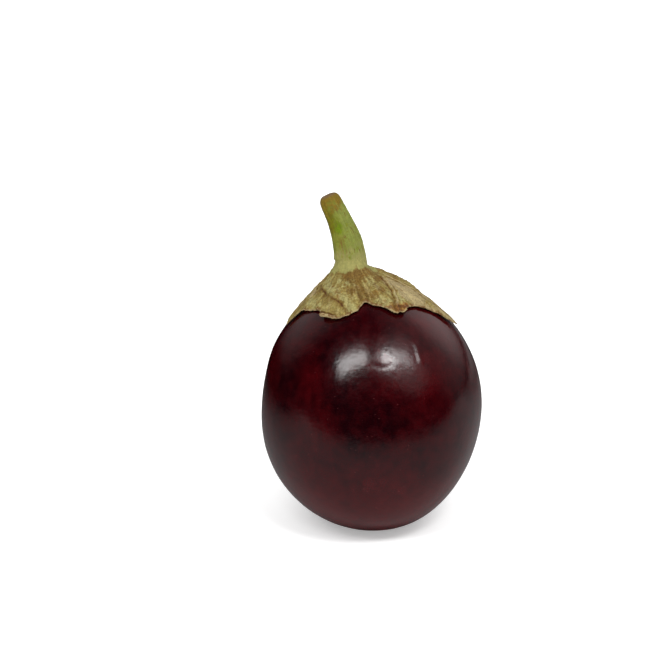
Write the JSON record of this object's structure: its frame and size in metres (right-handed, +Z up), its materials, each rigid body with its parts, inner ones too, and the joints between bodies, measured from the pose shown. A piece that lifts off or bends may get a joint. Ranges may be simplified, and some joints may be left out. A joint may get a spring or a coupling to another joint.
{
  "type": "eggplant",
  "caption": "Round glossy dark purple eggplant with a lobed leafy cap and a short curved stem, standing on a small flat spot.",
  "frame": {"origin": "middle of the flat spot that the fruit rests on", "axes": "+Z up, +X to the right of the front view, -Y towards the front view"},
  "size_m": [0.0957, 0.0962, 0.146],
  "materials": {
    "fruit_skin": "waxy glossy skin, almost black purple with a deep red glow",
    "green_cap": "matt, dry, veined green going brown at the rim"
  },
  "bodies": {
    "root": {"fruit": "fruit_skin", "calyx_and_stem": "green_cap"}
  },
  "joints": []
}
